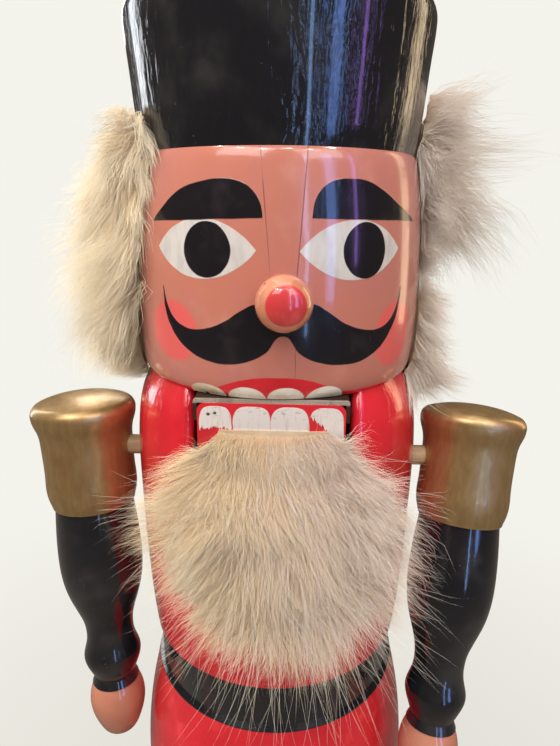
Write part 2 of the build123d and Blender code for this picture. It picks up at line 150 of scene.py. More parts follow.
def noise(tree, scale, detail=2, rough=0.5, stretch=(1, 1, 1), warp=0.0):
    node = tree.nodes.new("ShaderNodeTexNoise")
    link(placed(tree, stretch), node.inputs["Vector"])
    node.inputs["Scale"].default_value = scale
    node.inputs["Detail"].default_value = detail
    node.inputs["Roughness"].default_value = rough
    node.inputs["Distortion"].default_value = warp
    return Wire(node.outputs[0])


def parts(vector):
    node = vector.socket.id_data.nodes.new("ShaderNodeSeparateXYZ")
    link(vector, node.inputs[0])
    return [Wire(socket) for socket in node.outputs]


# what a drawn line may cover, in mm
canvas = {"left": -60.0, "wide": 120.0, "foot": -20.0, "tall": 100.0}


def drawn(value, points):
    # a hand-drawn line: value and the points are in millimetres
    left, wide, foot, tall = canvas.values()
    node = value.socket.id_data.nodes.new("ShaderNodeFloatCurve")
    line = node.mapping.curves[0]
    spots = [((a - left) / wide, (b - foot) / tall) for a, b in points]
    for spot in spots[1:-1]:
        line.points.new(*spot)
    line.points[0].location = spots[0]
    line.points[-1].location = spots[-1]
    node.mapping.update()
    link((value - left) / wide, node.inputs[1])
    return Wire(node.outputs[0]) * tall + foot


def oval(across, up, middle, halves, soft=0.2):
    a = (across - middle[0]) / halves[0]
    b = (up - middle[1]) / halves[1]
    span = maths("SQRT", a * a + b * b)
    inside = (1.0 - span) * min(halves)        # about how far inside, in mm
    return step(inside, -soft, soft)


def within(across, up, top, bottom, soft=0.18):
    below = step(drawn(across, top) - up, -soft, soft)
    above = step(up - drawn(across, bottom), -soft, soft)
    return below * above


def raised(shader, height):
    node = shader.id_data.nodes.new("ShaderNodeBump")
    node.inputs["Strength"].default_value = 1.0
    node.inputs["Distance"].default_value = mm
    link(height, node.inputs["Height"])
    link(Wire(node.outputs[0]), shader.inputs["Normal"])


def blankTree(owner):
    owner.use_nodes = True
    owner.node_tree.nodes.clear()
    return owner.node_tree


def newMaterial(name, roughness=0.3, coat=0.0, metallic=0.0, sheen=0.0):
    material = bpy.data.materials.new(name)
    tree = blankTree(material)
    output = tree.nodes.new("ShaderNodeOutputMaterial")
    shader = tree.nodes.new("ShaderNodeBsdfPrincipled")
    tree.links.new(shader.outputs[0], output.inputs[0])
    shader.inputs["Roughness"].default_value = roughness
    shader.inputs["Coat Weight"].default_value = coat
    shader.inputs["Coat Roughness"].default_value = 0.06
    shader.inputs["Metallic"].default_value = metallic
    shader.inputs["Sheen Weight"].default_value = sheen
    return material, tree, shader


bumps = {"wave": (260, 260, 34), "ripple": (420, 420, 190), "peel": 620, "calmed": 0.9, "calmOver": 4.0}


def lacquerBumps(shader, wave, peel, extra=None, ripple=0.0, calm=None):
    # long brush waves down the turned wood, and a finer skin over them; it is smoother above the height calm
    tree = shader.id_data
    waves = noise(tree, 1.0, 2, 0.5, bumps["wave"], 0.4)
    if calm is not None:
        left = 1 - bumps["calmed"]
        quiet = step(parts(placed(tree))[2], calm + bumps["calmOver"] * mm, calm)
        wave, ripple = (quiet * (v * bumps["calmed"]) + v * left for v in (wave, ripple))
    if ripple:
        fine = noise(tree, 1.0, 2, 0.5, bumps["ripple"], 0.6) * ripple
        extra = fine if extra is None else extra + fine
    skin = noise(tree, bumps["peel"], 2, 0.6)
    height = waves * wave + skin * peel
    if extra is not None:
        height = height + extra
    raised(shader, height)


def specks(tree, scale, size, shift=0.0):
    # scattered round chips or dust grains: 1 inside a speck
    node = tree.nodes.new("ShaderNodeTexVoronoi")
    link(placed(tree, shift=(shift, 0, 0)), node.inputs["Vector"])
    node.inputs["Scale"].default_value = scale
    sparse = noise(tree, scale * 0.23, 1)
    grain = step(size - Wire(node.outputs["Distance"]), 0, size * 0.6)
    return grain * step(sparse, 0.6, 0.68)


# camera, floor and lights

view = {"side": 8.1, "back": 211.8, "above": 55.0, "down": 16.6, "turn": -1.9, "roll": 0.5, "lens": 27.27}


def placeCamera():
    down, turn, roll = (math.radians(view[k]) for k in ("down", "turn", "roll"))
    ahead = Vector((math.sin(turn) * math.cos(down), math.cos(turn) * math.cos(down), -math.sin(down)))
    right = Vector((math.cos(turn), -math.sin(turn), 0))
    up = right.cross(ahead)
    tiltedRight = right * math.cos(roll) + up * math.sin(roll)
    tiltedUp = up * math.cos(roll) - right * math.sin(roll)
    data = bpy.data.cameras.new("camera")
    data.lens = view["lens"]
    data.sensor_width = 36
    data.clip_start = 0.01
    camera = bpy.data.objects.new("camera", data)
    bpy.context.scene.collection.objects.link(camera)
    place = Matrix((tiltedRight, tiltedUp, -ahead)).transposed().to_4x4()
    place.translation = Vector((view["side"] * mm, -view["back"] * mm, chin + view["above"] * mm))
    camera.matrix_world = place
    bpy.context.scene.camera = camera


placeCamera()

room = {
    "paper": (0.905, 0.895, 0.835),
    "seenLevel": 1.0,
    "softLight": (0.98, 0.92, 0.85),
    "softLevel": 0.62,
    "mirrored": (0.16, 0.13, 0.11),        # what the lacquer mirrors where no lamp hangs
    "mirroredLevel": 0.5,
    "floorSize": 8.0,
    "floorPaint": (0.32, 0.31, 0.28),
    "floorMirrored": (0.11, 0.10, 0.09),
    "shadowShare": 0.30,
    "fadeStart": 0.10,
    "fadeEnd": 0.55,
}


def coloured(tree, kind, colour, level=None):
    node = tree.nodes.new(kind)
    node.inputs[0].default_value = (*colour, 1)
    if level is not None:
        node.inputs[1].default_value = level
    return node.outputs[0]


def layered(tree, share, under, over):
    mix = tree.nodes.new("ShaderNodeMixShader")
    for source, socket in zip((share, under, over), mix.inputs):
        tree.links.new(source, socket)
    return mix.outputs[0]


def makeWorld():
    world = bpy.data.worlds.new("room")
    bpy.context.scene.world = world
    tree = blankTree(world)
    output = tree.nodes.new("ShaderNodeOutputWorld")
    path = tree.nodes.new("ShaderNodeLightPath")
    light = coloured(tree, "ShaderNodeBackground", room["softLight"], room["softLevel"])
    for ray, colour, level in (("Glossy", "mirrored", "mirroredLevel"), ("Camera", "paper", "seenLevel")):
        seen = coloured(tree, "ShaderNodeBackground", room[colour], room[level])
        light = layered(tree, path.outputs["Is " + ray + " Ray"], light, seen)
    tree.links.new(light, output.inputs[0])


def makeFloor():
    bpy.ops.object.select_all(action="DESELECT")
    bpy.ops.mesh.primitive_plane_add(size=room["floorSize"], location=(0, 0, 0))
    floor = bpy.context.object
    floor.name = "floor"
    material = bpy.data.materials.new("floorPaper")
    tree = blankTree(material)
    output = tree.nodes.new("ShaderNodeOutputMaterial")
    path = tree.nodes.new("ShaderNodeLightPath")
    paint = coloured(tree, "ShaderNodeBsdfDiffuse", room["floorPaint"])
    dim = coloured(tree, "ShaderNodeBsdfDiffuse", room["floorMirrored"])
    glow = coloured(tree, "ShaderNodeEmission", room["paper"])
    # near the figure the camera sees some of its shadow, further out only the paper
    length = tree.nodes.new("ShaderNodeVectorMath")
    length.operation = "LENGTH"
    link(placed(tree), length.inputs[0])
    fade = step(Wire(length.outputs["Value"]), room["fadeStart"], room["fadeEnd"])
    share = (fade * room["shadowShare"] + (1 - room["shadowShare"])) * Wire(path.outputs["Is Camera Ray"])
    seen = layered(tree, path.outputs["Is Glossy Ray"], paint, dim)
    tree.links.new(layered(tree, share.socket, seen, glow), output.inputs[0])
    floor.data.materials.append(material)


makeWorld()
makeFloor()
bpy.context.scene.view_settings.view_transform = "Standard"        # paints keep their own colour

# each lamp: bearing from the front towards +X, distance, height, width, tall, radiance, colour
lamps = {
    "key": (-30, 0.62, 1.02, 0.55, 0.45, 4.4, (1.0, 0.97, 0.93)),
    "fill": (38, 0.72, 0.98, 0.50, 0.40, 3.7, (1.0, 0.95, 0.95)),
    "overhead": (180, 0.05, 1.15, 0.60, 0.60, 2.2, (1.0, 0.97, 0.93)),
    "low": (4, 0.95, 0.16, 0.50, 0.16, 0.8, (1.0, 0.92, 0.86)),
    "leftSide": (-82, 0.75, 0.62, 0.34, 0.50, 5.2, (1.0, 0.91, 0.76)),
    "paneOne": (23, 0.85, 0.50, 0.035, 0.80, 10.0, (0.30, 0.52, 1.0)),
    "paneTwo": (41, 0.85, 0.56, 0.11, 0.70, 6.0, (0.22, 0.40, 1.0)),
    "paneThree": (61, 0.85, 0.60, 0.04, 0.60, 7.0, (0.50, 0.28, 1.0)),
    "sidePane": (-119, 0.80, 0.55, 0.16, 0.80, 4.5, (0.92, 0.96, 1.0)),
    "warmPane": (116, 0.80, 0.50, 0.16, 0.70, 3.2, (1.0, 0.76, 0.48)),
    "backLight": (-163, 0.80, 0.80, 0.40, 0.40, 5.0, (1.0, 0.97, 0.93)),
}
ceilingSpots = ((-74, 0.46), (-41, 0.50), (-14, 0.60), (12, 0.52), (34, 0.62), (66, 0.48))
for spot, (bearing, away) in enumerate(ceilingSpots):
    lamps["ceilingSpot" + str(spot)] = (bearing, away, 1.15, 0.06, 0.06, 50.0, (1.0, 0.97, 0.92))


def hangLamps():
    for name, (bearing, away, height, width, tall, radiance, colour) in lamps.items():
        data = bpy.data.lights.new(name, "AREA")
        data.shape = "RECTANGLE"
        data.size = width
        data.size_y = tall
        data.energy = radiance * math.pi * width * tall
        data.color = colour
        lamp = bpy.data.objects.new(name, data)
        bpy.context.scene.collection.objects.link(lamp)
        angle = math.radians(bearing)
        lamp.location = (away * math.sin(angle), -away * math.cos(angle), height)
        target = Vector((0, 0, 0.33))
        lamp.rotation_euler = (target - lamp.location).to_track_quat("-Z", "Y").to_euler()
        lamp.visible_glossy = name not in ("leftSide", "low")        # these leave no streak in the lacquer
        lamp.visible_diffuse = "pane" not in name        # the coloured panes only show as streaks in it


hangLamps()
print("room ready")


# lacquers for the turned wood

black = {"base": (0.010, 0.010, 0.013), "worn": (0.03, 0.028, 0.03), "chip": (0.30, 0.28, 0.25), "peel": 0.012}


def blackLacquer(name, wave, ripple, calm=None):
    material, tree, shader = newMaterial(name, 0.16, 0.7)
    cloud = noise(tree, 60, 3)
    colour = mixed(step(cloud, 0.45, 0.75), black["base"], black["worn"])
    colour = mixed(specks(tree, 620, 0.14) * 0.5, colour, black["chip"])
    link(colour, shader.inputs["Base Color"])
    link(noise(tree, 90, 3) * 0.22 + 0.06, shader.inputs["Roughness"])
    lacquerBumps(shader, wave, black["peel"], None, ripple, calm)
    return material


red = {"base": (0.70, 0.020, 0.034), "deep": (0.54, 0.012, 0.022), "light": (0.78, 0.045, 0.06)}


def redWood(tree):
    cloud = noise(tree, 34, 3, 0.55)
    colour = mixed(step(cloud, 0.35, 0.7), red["base"], red["deep"])
    return mixed(step(noise(tree, 90, 2), 0.58, 0.8), colour, red["light"])


coatValues = {
    "beltFoot": -131.0, "beltTop": -111.3, "belt": (0.014, 0.014, 0.017),
    # slot: the near-black painted shade inside the sawn slot
    "slotSide": (25.6, 25.25), "slotDepth": (46.0, 37.0), "slot": (0.07, 0.018, 0.012),
    "chip": (0.72, 0.4, 0.34), "bumps": (0.26, 0.06), "ripple": 0.16,
}


def bodyPaint():
    material, tree, shader = newMaterial("coatAndBelt", 0.2, 0.6)
    x, y, z = parts(placed(tree))
    up = z * 1000.0 - chin * 1000
    foot, top = coatValues["beltFoot"], coatValues["beltTop"]
    band = step(up, foot - 0.15, foot + 0.15) * step(up, top + 0.25, top - 0.05)
    colour = mixed(band, redWood(tree), coatValues["belt"])
    # painted shade: the sawn slot is painted near-black inside for the shade that fills it, and has no lacquer
    # coat there
    side = step(abs(x * 1000.0), *coatValues["slotSide"])
    deep = step(abs(y * 1000.0), *coatValues["slotDepth"])
    slot = side * deep
    colour = mixed(slot, colour, coatValues["slot"])
    chips = specks(tree, 420, 0.1, 3.1) * (1.0 - slot)
    colour = mixed(chips, colour, coatValues["chip"])
    link(colour, shader.inputs["Base Color"])
    link(slot * 0.6 + (noise(tree, 70, 3) * 0.2 + 0.08), shader.inputs["Roughness"])
    link(slot * -0.6 + 0.6, shader.inputs["Coat Weight"])
    lacquerBumps(shader, *coatValues["bumps"], None, coatValues["ripple"])
    return material


skin = {
    "base": (0.515, 0.188, 0.158), "warm": (0.545, 0.190, 0.135), "pale": (0.61, 0.27, 0.22),
    "cheek": (0.78, 0.115, 0.115),
}
faceTurn = 4.0
headRadius = 50.4


def faceSpot(tree, wobble=0.5):
    # in mm: how far round the turned surface from the middle of the face, height over the chin, and the
    # straight distances to the side and to the front
    x, y, z = parts(placed(tree, turn=-faceTurn))
    across = maths("ARCTAN2", x, y * -1.0) * headRadius
    up = z * 1000.0 - chin * 1000
    shake = noise(tree, 130, 2) * wobble - wobble / 2
    lift = noise(tree, 150, 2, 0.5, (1, 1, 1.3)) * wobble - wobble / 2
    flat = x * 1000.0
    depth = y * -1000.0
    return (across + shake, up + lift, flat, depth)


# hand-painted shapes on the face: each line runs from the viewer's left to right, in mm
face = {
    "leftBrowTop": [(-60, 20), (-46.5, 48), (-45.5, 50), (-40, 54.6), (-35, 58), (-30, 60.1), (-23, 61.6),
                    (-17, 61.9), (-12, 60.8), (-9, 58.8), (-7, 56), (-6.1, 52.5), (-5.7, 46), (60, -20)],
    "leftBrowBottom": [(-60, 49.6), (-45.5, 50), (-25, 50.7), (-6, 51.4), (60, 52)],
    "rightBrowTop": [(-60, -20), (7.6, 46), (8.1, 53), (9.5, 57.5), (12, 60.2), (16, 61.8), (21, 62.2),
                     (27, 61.5), (33, 59.1), (40, 55.4), (45, 53), (50, 50.4), (51, 48), (60, 20)],
    "rightBrowBottom": [(-60, 52), (8, 51.4), (28, 50.9), (50, 50.4), (60, 50)],
    "moustacheTop": [(-60, -20), (-42, 10), (-40.7, 31), (-40.1, 29.5), (-39.4, 26.8), (-38, 23.8), (-36, 21.5),
                     (-33, 19.5), (-28, 18.7), (-22, 19.8), (-17, 22.2), (-12, 25.6), (-8, 27.4), (0, 27.6),
                     (9, 27.4), (13, 25.2), (19, 21.2), (25, 19), (31, 18.4), (36, 20), (39, 22.8), (41, 26.6),
                     (42.2, 30.6), (43.4, 10), (60, -20)],
    "moustacheBottom": [(-60, 70), (-41.6, 50), (-40.6, 27), (-39.6, 22.5), (-38, 19), (-35, 15), (-30, 11.5),
                        (-25, 9.5), (-17, 8.7), (-10, 10.1), (-5, 13), (0, 18), (5, 12.8), (10, 9.9), (18, 8.5),
                        (25, 8.8), (30, 10.5), (35, 13.9), (39, 18.8), (41.4, 24), (42.4, 28),
                        (43.6, 50), (60, 70)],
    "gum": [(-60, -12), (-30, -4), (-24, -1.2), (-20, 1.2), (-10, 4.5), (-2, 5.2), (5, 4.7), (12, 2.7),
            (18, 0.2), (22, -1.4), (28, -4), (60, -12)],
    # ovals: middle, half width and half height
    "cheeks": (((-37.0, 17.0), (10.4, 9.6)), ((40.3, 15.6), (9.8, 10.6))),
    "pupils": (((-23.1, 42.4), (7.8, 8.0)), ((25.4, 42.3), (7.8, 8.1))),
    "teeth": (((-25.3, -1.9), (6.6, 3.2)), ((-11.5, -2.6), (6.2, 4.2)), ((1.2, -2.6), (6.1, 4.4)),
              ((14.2, -2.6), (6.4, 4.3))),
    "stain": ((-26.5, -1.6), (6.0, 3.4)), "dot": ((-25.8, -2.5), (0.8, 0.6)),
    # eye whites: middle, half width, height over the middle and under it
    "eyes": (((-25.0, 42.6), 17.2, 8.5, 8.6), ((22.0, 42.4), 17.6, 8.6, 8.5)),
    # the wedge's seams: half its width at the nose, where that is, how much it widens upwards
    "seamHalf": 3.3, "seamFoot": 28.5, "seamSlope": 3.4 / 43.5, "seamFrom": (34, 36),
    "crackAt": 3.2, "crackFrom": (4.6, 5.6), "crackTo": (17.5, 15),
}
facePaints = {
    "eye": ((0.66, 0.62, 0.60), (0.54, 0.50, 0.50)), "ink": ((0.010, 0.008, 0.011), (0.024, 0.018, 0.022)),
    "dust": (0.3, 0.27, 0.25), "tooth": ((0.86, 0.81, 0.74), (0.70, 0.60, 0.47)), "stain": (0.52, 0.38, 0.20),
    "dot": (0.05, 0.03, 0.02), "seam": (0.17, 0.06, 0.05),
}


def almond(across, up, middle, half, over, under):
    # an eye white: the space that two large discs share
    upperSize = (half * half + over * over) / (2 * over)
    lowerSize = (half * half + under * under) / (2 * under)
    upper = oval(across, up, (middle[0], middle[1] + over - upperSize), (upperSize, upperSize), 0.15)
    lower = oval(across, up, (middle[0], middle[1] - under + lowerSize), (lowerSize, lowerSize), 0.15)
    return upper * lower


def ovals(across, up, shapes, soft=0.2):
    return sum(oval(across, up, *shape, soft) for shape in shapes)


def faceSeams(tree, up, flat):
    # hairline seams of the wedge let in over the nose, and a crack under the moustache
    edge = (up - face["seamFoot"]) * face["seamSlope"] + face["seamHalf"]
    gap = abs(abs(flat) - edge)
    seam = step(gap, 0.2, 0.05) * step(up, *face["seamFrom"])
    wander = noise(tree, 160, 2) * 1.2 + face["crackAt"]
    crack = step(abs(flat - wander), 0.16, 0.04)
    crack = crack * (step(up, *face["crackTo"]) * step(up, *face["crackFrom"]))
    return maths("MAXIMUM", seam, crack)


def facePaint():
    material, tree, shader = newMaterial("facePaint", 0.22, 0.5)
    across, up, flat, depth = faceSpot(tree)
    front = step(depth, 0.0, 4.0)
    colour = mixed(step(noise(tree, 26, 3, 0.55), 0.36, 0.66), skin["base"], skin["warm"])
    colour = mixed(step(noise(tree, 60, 3), 0.56, 0.82), colour, skin["pale"])
    cheeks = ovals(across, up, face["cheeks"], 0.9) * step(noise(tree, 210, 3), 0.12, 0.42)
    colour = mixed(cheeks * 0.86, colour, skin["cheek"])
    whites = sum(almond(across, up, *eye) for eye in face["eyes"])
    chalk = step(noise(tree, 330, 3, 0.6, (1, 1, 0.35)), 0.35, 0.75)
    colour = mixed(whites, colour, mixed(chalk, *facePaints["eye"]))
    pupils = ovals(across, up, face["pupils"], 0.15)
    hairy = sum(within(across, up, face[line + "Top"], face[line + "Bottom"])
                for line in ("leftBrow", "rightBrow", "moustache"))
    dark = maths("MINIMUM", pupils + hairy, 1.0) * front
    ink = mixed(step(noise(tree, 120, 3), 0.5, 0.8), *facePaints["ink"])
    colour = mixed(dark, colour, ink)
    dust = specks(tree, 700, 0.12, 7.7) * dark
    colour = mixed(dust * 0.35, colour, facePaints["dust"])
    gum = step(drawn(across, face["gum"]) - up, -0.2, 0.2)
    collar = step(up, -0.7, -1.3)
    mouth = maths("MAXIMUM", gum * front, collar)
    colour = mixed(mouth, colour, redWood(tree))
    teeth = ovals(across, up, face["teeth"])
    enamel = mixed(step(noise(tree, 260, 3, 0.6), 0.45, 0.75), *facePaints["tooth"])
    stain = oval(across, up, *face["stain"], 1.2) * 0.6
    enamel = mixed(stain, enamel, facePaints["stain"])
    enamel = mixed(oval(across, up, *face["dot"], 0.3), enamel, facePaints["dot"])
    colour = mixed(maths("MINIMUM", teeth * front, 1.0), colour, enamel)
    lines = faceSeams(tree, up, flat) * (front * step(noise(tree, 75, 1), 0.3, 0.55))
    colour = mixed(lines * 0.7, colour, facePaints["seam"])
    link(colour, shader.inputs["Base Color"])
    link(noise(tree, 80, 3) * 0.22 + 0.09, shader.inputs["Roughness"])
    lacquerBumps(shader, 0.10, 0.022, (dark + whites * 0.6) * 0.07 - lines * 0.12)
    return material


noseValues = {
    "disc": ((0.4, 28.7), (5.8, 5.7)), "discDepth": (56.0, 57.0),
    "peach": ((0.55, 0.20, 0.115), (0.64, 0.27, 0.155)),
    "rouge": ((0.58, 0.045, 0.05), (0.66, 0.085, 0.08)), "fleck": (0.2, 0.08, 0.07),
}


def nosePaint():
    material, tree, shader = newMaterial("nosePaint", 0.2, 0.8)
    up, flat, depth = faceSpot(tree, 0.25)[1:]
    disc = oval(flat, up, *noseValues["disc"], 0.25) * step(depth, *noseValues["discDepth"])
    peach = mixed(step(noise(tree, 110, 3), 0.4, 0.7), *noseValues["peach"])
    rouge = mixed(step(noise(tree, 150, 3), 0.45, 0.7), *noseValues["rouge"])
    colour = mixed(disc, peach, rouge)
    colour = mixed(specks(tree, 330, 0.2, 1.4), colour, noseValues["fleck"])
    link(colour, shader.inputs["Base Color"])
    lacquerBumps(shader, 0.05, 0.03, disc * 0.08)
    return material


jawValues = {
    # teeth: middle and half width, then how far their middle lies below the jaw's top and their half height
    "teeth": ((-17.4, 5.2), (-6.0, 5.9), (5.9, 6.0), (17.4, 5.3)),
    "toothDrop": 7.6, "toothHalf": 6.7, "square": 3.2,
    "foot": [(-60, -12), (-23, -11.2), (-12.5, -11.6), (-10, -14.2), (0, -14.8), (2, -16.0), (11.6, -16.2),
             (12.2, -7.4), (15, -9.0), (19, -13.0), (23, -15.8), (60, -16)],
    "dots": (((-19.6, -3.6), (0.55, 0.5)), ((-17.4, -3.2), (0.5, 0.45))),
    "enamel": ((0.76, 0.70, 0.68), (0.50, 0.33, 0.42)), "smudge": (0.33, 0.31, 0.33), "dot": (0.06, 0.04, 0.03),
    # the painted shade on the jaw inside the slot, and where that stretch starts at the front and ends at the
    # back
    "bare": (0.16, 0.03, 0.02), "slotShadeFront": (-46.0, -38.0), "slotShadeBack": (52.0, 46.0),
}


def jawPaint():
    material, tree, shader = newMaterial("jawPaint", 0.2, 0.75)
    x, y, z = parts(placed(tree))
    across = x * 1000.0
    up = z * 1000.0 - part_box("jaw")[1].z * 1000
    front = step(y * -1000.0, 47.3, 47.8)
    across = across + (noise(tree, 160, 2) * 0.9 - 0.45)
    teeth = 0.0
    b = abs((up + jawValues["toothDrop"]) / jawValues["toothHalf"])
    b = b ** jawValues["square"] * step(up, -8.0, -7.0)
    for middle, half in jawValues["teeth"]:
        a = abs((across - middle) / half) ** jawValues["square"]
        teeth = teeth + step(1.0 - (a + b), -0.05, 0.08)
    # the brush ran dry downwards: the lower ends are streaks
    bristle = noise(tree, 1.0, 2, 0.6, (1500, 1, 60))
    foot = drawn(across, jawValues["foot"]) + bristle * 5.4
    teeth = teeth * step(up - foot, -0.15, 0.15)
    teeth = maths("MINIMUM", teeth, 1.0) * front
    thin = step(noise(tree, 1.0, 2, 0.6, (900, 1, 120)), 0.50, 0.78)
    enamel = mixed(thin * 0.55, *jawValues["enamel"])
    smudge = step(noise(tree, 420, 3, 0.6, (1, 1, 2.5)), 0.56, 0.66) * step(up, -6.5, -3.0)
    enamel = mixed(smudge * 0.6, enamel, jawValues["smudge"])
    enamel = mixed(ovals(across, up, jawValues["dots"]), enamel, jawValues["dot"])
    colour = mixed(teeth, redWood(tree), enamel)
    # painted shade: the part of the jaw inside the body's slot is painted dark red-brown for the shade there
    back = y * 1000.0
    hidden = step(back, *jawValues["slotShadeFront"]) * step(back, *jawValues["slotShadeBack"])
    colour = mixed(hidden * 0.75, colour, jawValues["bare"])
    link(colour, shader.inputs["Base Color"])
    lacquerBumps(shader, 0.1, 0.03, teeth * 0.14)
    return material


def goldPaint():
    material, tree, shader = newMaterial("goldPaint", 0.36, 0.25, 0.72)
    strokes = noise(tree, 1.0, 3, 0.6, (420, 420, 110), 0.3)
    colour = mixed(step(strokes, 0.3, 0.75), (0.44, 0.275, 0.115), (0.53, 0.355, 0.16))
    colour = mixed(step(noise(tree, 60, 3), 0.5, 0.8), colour, (0.38, 0.20, 0.085))
    link(colour, shader.inputs["Base Color"])
    link(noise(tree, 240, 3) * 0.28 + 0.22, shader.inputs["Roughness"])
    height = strokes * 0.05 + noise(tree, 900, 2) * 0.02
    raised(shader, height + noise(tree, 130, 2) * 0.1)
    return material


def plainLacquer(name, base, other, gloss=0.2):
    material, tree, shader = newMaterial(name, gloss, 0.7)
    colour = mixed(step(noise(tree, 45, 3), 0.36, 0.72), base, other)
    dust = specks(tree, 380, 0.12, 2.0) * 0.6
    colour = mixed(dust, colour, tuple(c * 0.35 for c in base))
    link(colour, shader.inputs["Base Color"])
    link(noise(tree, 90, 3) * 0.2 + (gloss - 0.1), shader.inputs["Roughness"])
    lacquerBumps(shader, 0.10, 0.025)
    return material


def wornSteel():
    material, tree, shader = newMaterial("wornSteel", 0.4, 0, 0.9)
    shader.inputs["Specular IOR Level"].default_value = 0.1
    scratch = noise(tree, 1.0, 3, 0.6, (60, 1800, 1800))
    colour = mixed(step(scratch, 0.35, 0.7), (0.56, 0.49, 0.40), (0.78, 0.71, 0.61))
    rustAndShade = step(noise(tree, 240, 4, 0.6), 0.52, 0.66)
    y, z = parts(placed(tree))[1:]
    low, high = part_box("jaw_plate")
    # painted shade: it is painted dark behind its front edge and below its top, where it lies in shade; the same
    # dark colour also paints its rust
    inner = step(y, low.y + 0.7 * mm, low.y + 1.3 * mm)
    under = step(z, high.z - 1.1 * mm, high.z - 1.7 * mm)
    rustAndShade = maths("MAXIMUM", rustAndShade * 0.6, maths("MAXIMUM", inner, under))
    colour = mixed(rustAndShade, colour, (0.045, 0.024, 0.016))
    link(colour, shader.inputs["Base Color"])
    link(rustAndShade * -0.6 + 0.6, shader.inputs["Metallic"])
    link(rustAndShade * 0.5 + 0.3, shader.inputs["Roughness"])
    raised(shader, rustAndShade * 0.06 + scratch * 0.03)
    return material


def bareWood():
    material, tree, shader = newMaterial("bareWood", 0.6)
    grain = noise(tree, 1.0, 4, 0.6, (60, 500, 500), 0.8)
    colour = mixed(step(grain, 0.3, 0.7), (0.56, 0.40, 0.24), (0.40, 0.26, 0.14))
    link(colour, shader.inputs["Base Color"])
    raised(shader, grain * 0.08)
    return material


finishes = {
    "hatBlack": blackLacquer("hatBlack", 0.50, 0.26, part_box("hat")[1].z - 6 * mm),
    "sleeveBlack": blackLacquer("sleeveBlack", 0.12, 0.02),
    "baseBlack": blackLacquer("baseBlack", 0.03, 0.01),
    "coat": bodyPaint(),
    "face": facePaint(),
    "nose": nosePaint(),
    "jaw": jawPaint(),
    "gold": goldPaint(),
    "hand": plainLacquer("handPaint", (0.50, 0.185, 0.12), (0.57, 0.25, 0.17)),
    "trousers": plainLacquer("trouserPaint", (0.74, 0.71, 0.64), (0.66, 0.62, 0.54)),
    "plug": plainLacquer("plugPaint", red["base"], red["deep"]),
    "steel": wornSteel(),
    "wood": bareWood(),
}
wearing = {
    "hat": "hatBlack", "base": "baseBlack", "body": "coat", "head": "face", "forehead_inlay": "face",
    "nose": "nose", "jaw": "jaw", "jaw_plate": "steel", "plate_nails": "steel", "pivot_pin": "steel",
    "pin_plugs": "plug", "leg_dowels": "wood", "neck_dowels": "wood", "hat_dowel": "wood",
}
for side in ("left", "right"):
    wearing.update({
        side + "_boot": "sleeveBlack", side + "_toe": "sleeveBlack", side + "_arm": "sleeveBlack",
        side + "_leg": "trousers", side + "_shoulder_cap": "gold", side + "_hand": "hand",
        side + "_shoulder_dowel": "wood",
    })
for name, finish in wearing.items():
    nodes[name].data.materials.clear()
    nodes[name].data.materials.append(finishes[finish])
print("painted", len(wearing), "pieces")


# fur

furValues = {"quickShare": 4, "quickWidth": 1.7, "ownShading": 0.75}
tints = 32        # columns of the fur's own map: sixteen warm tints, then sixteen cool ones


def furMaterial(name, warm, cool, rootShade, tipShade):
    # warm and cool each hold a dark and a light tint
    material, tree, shader = newMaterial(name, 0.5)
    shader.inputs["Specular IOR Level"].default_value = 0.25
    strand = tree.nodes.new("ShaderNodeUVMap")
    strand.uv_map = "OFBake"
    u, v = parts(Wire(strand.outputs[0]))[:2]
    column = maths("FLOOR", u * float(tints))
    half = tints / 2
    isCool = maths("GREATER_THAN", column, half - 0.5)
    shade = (column - isCool * half) / (half - 1)
    colour = mixed(isCool, mixed(shade, *warm), mixed(shade, *cool))
    colour = mixed(step(v, 0.6, 1.0) * 0.6, colour, tipShade)
    # painted shade: the lower part of each strand, deep among the others, is painted darker
    colour = mixed(step(v, 0.45, 0.0) * 0.75, colour, rootShade)
    link(colour, shader.inputs["Base Color"])
    return material


def profileOf(name, count=160):
    # outermost radius of a turned piece at each height
    co = np.zeros(len(nodes[name].data.vertices) * 3)
    nodes[name].data.vertices.foreach_get("co", co)
    co = co.reshape(-1, 3)
    heights = np.linspace(co[:, 2].min(), co[:, 2].max(), count)
    radius = np.hypot(co[:, 0], co[:, 1])
    slot = np.clip(((co[:, 2] - heights[0]) / (heights[1] - heights[0])).round().astype(int), 0, count - 1)
    best = np.zeros(count)
    np.maximum.at(best, slot, radius)
    known = best > 0.03
    return heights[known], best[known]


def unit(v):
    return v / np.maximum(np.linalg.norm(v, axis=-1, keepdims=True), 1e-9)


def swirl(points, seed, wave):
    # a smooth random vector for each point, so that neighbours lean the same way
    rng = np.random.default_rng(seed)
    total = np.zeros(points.shape)
    for k in range(7):
        direction = unit(rng.normal(size=3)) * 2 * math.pi / (wave * rng.uniform(0.7, 1.6))
        total += np.sin(points @ direction + rng.uniform(0, 6.28))[..., None] * rng.normal(size=3)
    return total / 2.6


